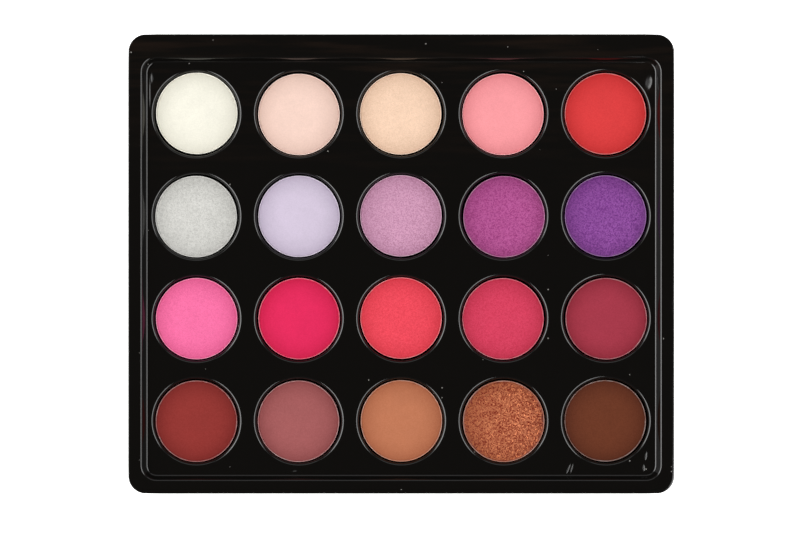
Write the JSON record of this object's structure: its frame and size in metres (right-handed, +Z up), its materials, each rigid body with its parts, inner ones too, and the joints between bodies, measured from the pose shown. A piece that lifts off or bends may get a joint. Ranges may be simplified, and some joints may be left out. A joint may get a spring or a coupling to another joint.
{
  "type": "eyeshadow palette",
  "caption": "Black tray of round pressed-powder pans on a moulded base, with a clear cover that folds over it from the rear at two creases.",
  "frame": {"origin": "middle of the case's underside, on the surface it stands on", "axes": "+X to the right along the rows of pans, +Y to the rear where the cover is hinged, +Z up out of the pans"},
  "size_m": [0.1734, 0.3077, 0.0104],
  "materials": {
    "base_shell": "fine satin moulded black",
    "formed_tray": "high gloss vacuum-formed black",
    "glue": "dried clear-white adhesive",
    "cover_film": "clear thermoformed film",
    "pan_metal": "bright drawn sheet metal",
    "powder_ivory": "pressed powder, matte",
    "powder_shell_pink": "pressed powder, matte",
    "powder_champagne": "pressed powder, shimmer",
    "powder_coral_pink": "pressed powder, matte",
    "powder_poppy": "pressed powder, matte",
    "powder_silver": "pressed powder, shimmer",
    "powder_lavender": "pressed powder, matte",
    "powder_orchid": "pressed powder, shimmer",
    "powder_magenta": "pressed powder, shimmer",
    "powder_violet": "pressed powder, shimmer",
    "powder_bubblegum": "pressed powder, satin",
    "powder_raspberry": "pressed powder, matte",
    "powder_coral_red": "pressed powder, satin",
    "powder_cranberry": "pressed powder, satin",
    "powder_maroon": "pressed powder, matte",
    "powder_brick": "pressed powder, matte",
    "powder_mauve": "pressed powder, matte",
    "powder_tan": "pressed powder, matte",
    "powder_bronze_glitter": "pressed powder, glitter",
    "powder_chocolate": "pressed powder, matte"
  },
  "bodies": {
    "case": {"base_shell": "base_shell", "rim_adhesive": "glue", "formed_tray": "formed_tray", "pan_adhesive": "glue", "hinge_flap": "cover_film", "pan_ivory": "pan_metal", "pan_shell_pink": "pan_metal", "pan_champagne": "pan_metal", "pan_coral_pink": "pan_metal", "pan_poppy": "pan_metal", "pan_silver": "pan_metal", "pan_lavender": "pan_metal", "pan_orchid": "pan_metal", "pan_magenta": "pan_metal", "pan_violet": "pan_metal", "pan_bubblegum": "pan_metal", "pan_raspberry": "pan_metal", "pan_coral_red": "pan_metal", "pan_cranberry": "pan_metal", "pan_maroon": "pan_metal", "pan_brick": "pan_metal", "pan_mauve": "pan_metal", "pan_tan": "pan_metal", "pan_bronze_glitter": "pan_metal", "pan_chocolate": "pan_metal", "powder_ivory": "powder_ivory", "powder_shell_pink": "powder_shell_pink", "powder_champagne": "powder_champagne", "powder_coral_pink": "powder_coral_pink", "powder_poppy": "powder_poppy", "powder_silver": "powder_silver", "powder_lavender": "powder_lavender", "powder_orchid": "powder_orchid", "powder_magenta": "powder_magenta", "powder_violet": "powder_violet", "powder_bubblegum": "powder_bubblegum", "powder_raspberry": "powder_raspberry", "powder_coral_red": "powder_coral_red", "powder_cranberry": "powder_cranberry", "powder_maroon": "powder_maroon", "powder_brick": "powder_brick", "powder_mauve": "powder_mauve", "powder_tan": "powder_tan", "powder_bronze_glitter": "powder_bronze_glitter", "powder_chocolate": "powder_chocolate"},
    "spine": {"hinge_spine": "cover_film"},
    "cover": {"lid_cover": "cover_film"}
  },
  "joints": [
    {"name": "spine_fold", "type": "hinge", "parent": "case", "child": "spine", "pos_m": [0, 0.07336, 0.00025], "axis": [1, 0, 0], "range_deg": [0, 90]},
    {"name": "cover_fold", "type": "hinge", "parent": "spine", "child": "cover", "pos_m": [0, 0.08392, 0.00025], "axis": [1, 0, 0], "range_deg": [0, 90]}
  ]
}
